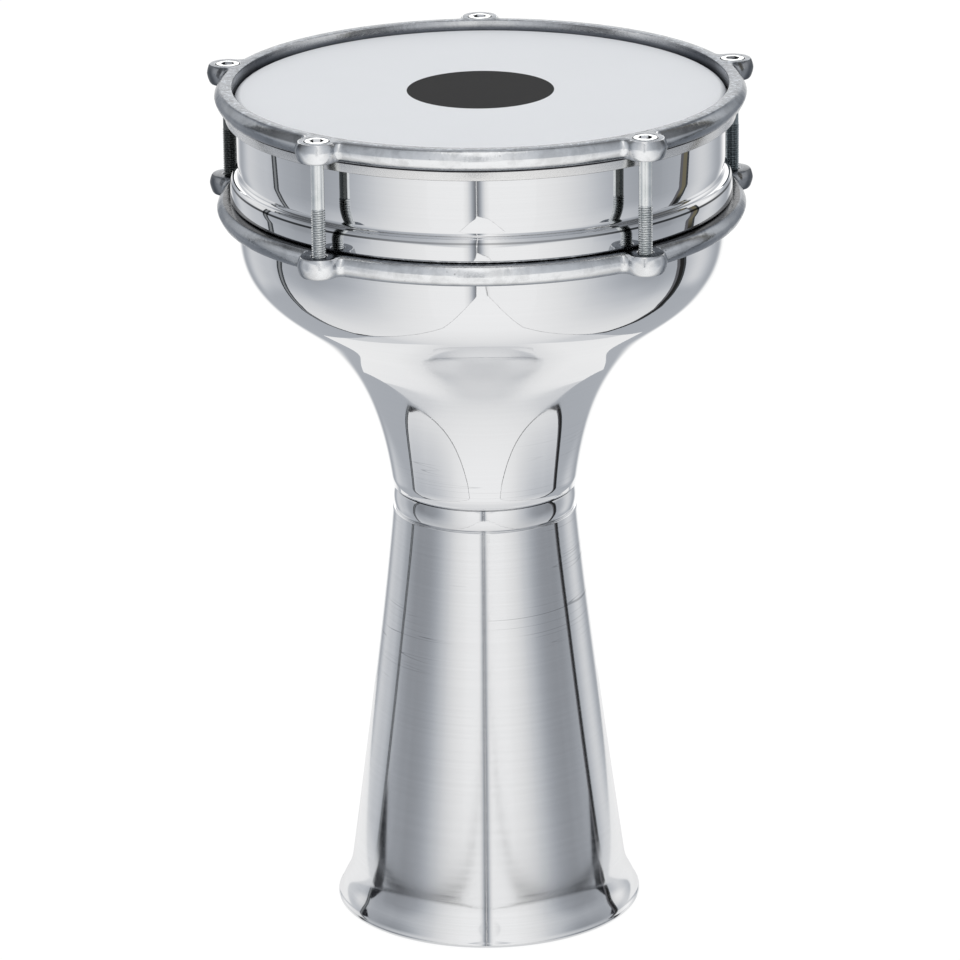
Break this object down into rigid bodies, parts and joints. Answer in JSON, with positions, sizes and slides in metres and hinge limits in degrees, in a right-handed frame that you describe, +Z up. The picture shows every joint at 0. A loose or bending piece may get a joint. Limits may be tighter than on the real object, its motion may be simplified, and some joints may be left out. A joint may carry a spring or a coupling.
{
  "type": "goblet drum",
  "caption": "Goblet-shaped hand drum: a spun metal shell with a flared foot, a film head, and a cast hoop that tension screws pull down to tune it.",
  "frame": {"origin": "on the drum's axis, at the underside of the foot's rim", "axes": "+Z up along the drum's axis, from the foot to the head; +Y towards the first ear and its screw, at the back in the picture"},
  "size_m": [0.2316, 0.2325, 0.365],
  "materials": {
    "polished_aluminium": "spun and polished bright, with fine turning lines",
    "cast_aluminium": "satin casting, filed along its edges",
    "brushed_aluminium": "fine brushed",
    "zinc_steel": "bright zinc plate",
    "white_film": "frosted white film"
  },
  "bodies": {
    "shell": {"bowl_shell": "polished_aluminium", "foot_shell": "polished_aluminium", "lower_ring": "cast_aluminium", "head_film": "white_film"},
    "hoop": {"upper_hoop": "cast_aluminium", "flesh_hoop": "brushed_aluminium"},
    "screw_1": {"tension_screw_1": "zinc_steel"},
    "screw_2": {"tension_screw_2": "zinc_steel"},
    "screw_3": {"tension_screw_3": "zinc_steel"},
    "screw_4": {"tension_screw_4": "zinc_steel"},
    "screw_5": {"tension_screw_5": "zinc_steel"}
  },
  "joints": [
    {"name": "hoop_travel", "type": "slide", "parent": "shell", "child": "hoop", "axis": [0, 0, 1], "range_m": [-0.001, 0.002]},
    {"name": "screw_1_turn", "type": "hinge", "parent": "hoop", "child": "screw_1", "pos_m": [0, 0.1123, 0.365], "axis": [0, 0, 1], "range_deg": [-361, 721]},
    {"name": "screw_2_turn", "type": "hinge", "parent": "hoop", "child": "screw_2", "pos_m": [-0.1068, 0.0347, 0.365], "axis": [0, 0, 1], "range_deg": [-361, 721]},
    {"name": "screw_3_turn", "type": "hinge", "parent": "hoop", "child": "screw_3", "pos_m": [-0.06601, -0.09085, 0.365], "axis": [0, 0, 1], "range_deg": [-361, 721]},
    {"name": "screw_4_turn", "type": "hinge", "parent": "hoop", "child": "screw_4", "pos_m": [0.06601, -0.09085, 0.365], "axis": [0, 0, 1], "range_deg": [-361, 721]},
    {"name": "screw_5_turn", "type": "hinge", "parent": "hoop", "child": "screw_5", "pos_m": [0.1068, 0.0347, 0.365], "axis": [0, 0, 1], "range_deg": [-361, 721]}
  ],
  "couplings": [
    {"joint": "screw_1_turn", "follows": "hoop_travel", "rad_per_m": 6283.2},
    {"joint": "screw_2_turn", "follows": "hoop_travel", "rad_per_m": 6283.2},
    {"joint": "screw_3_turn", "follows": "hoop_travel", "rad_per_m": 6283.2},
    {"joint": "screw_4_turn", "follows": "hoop_travel", "rad_per_m": 6283.2},
    {"joint": "screw_5_turn", "follows": "hoop_travel", "rad_per_m": 6283.2}
  ]
}
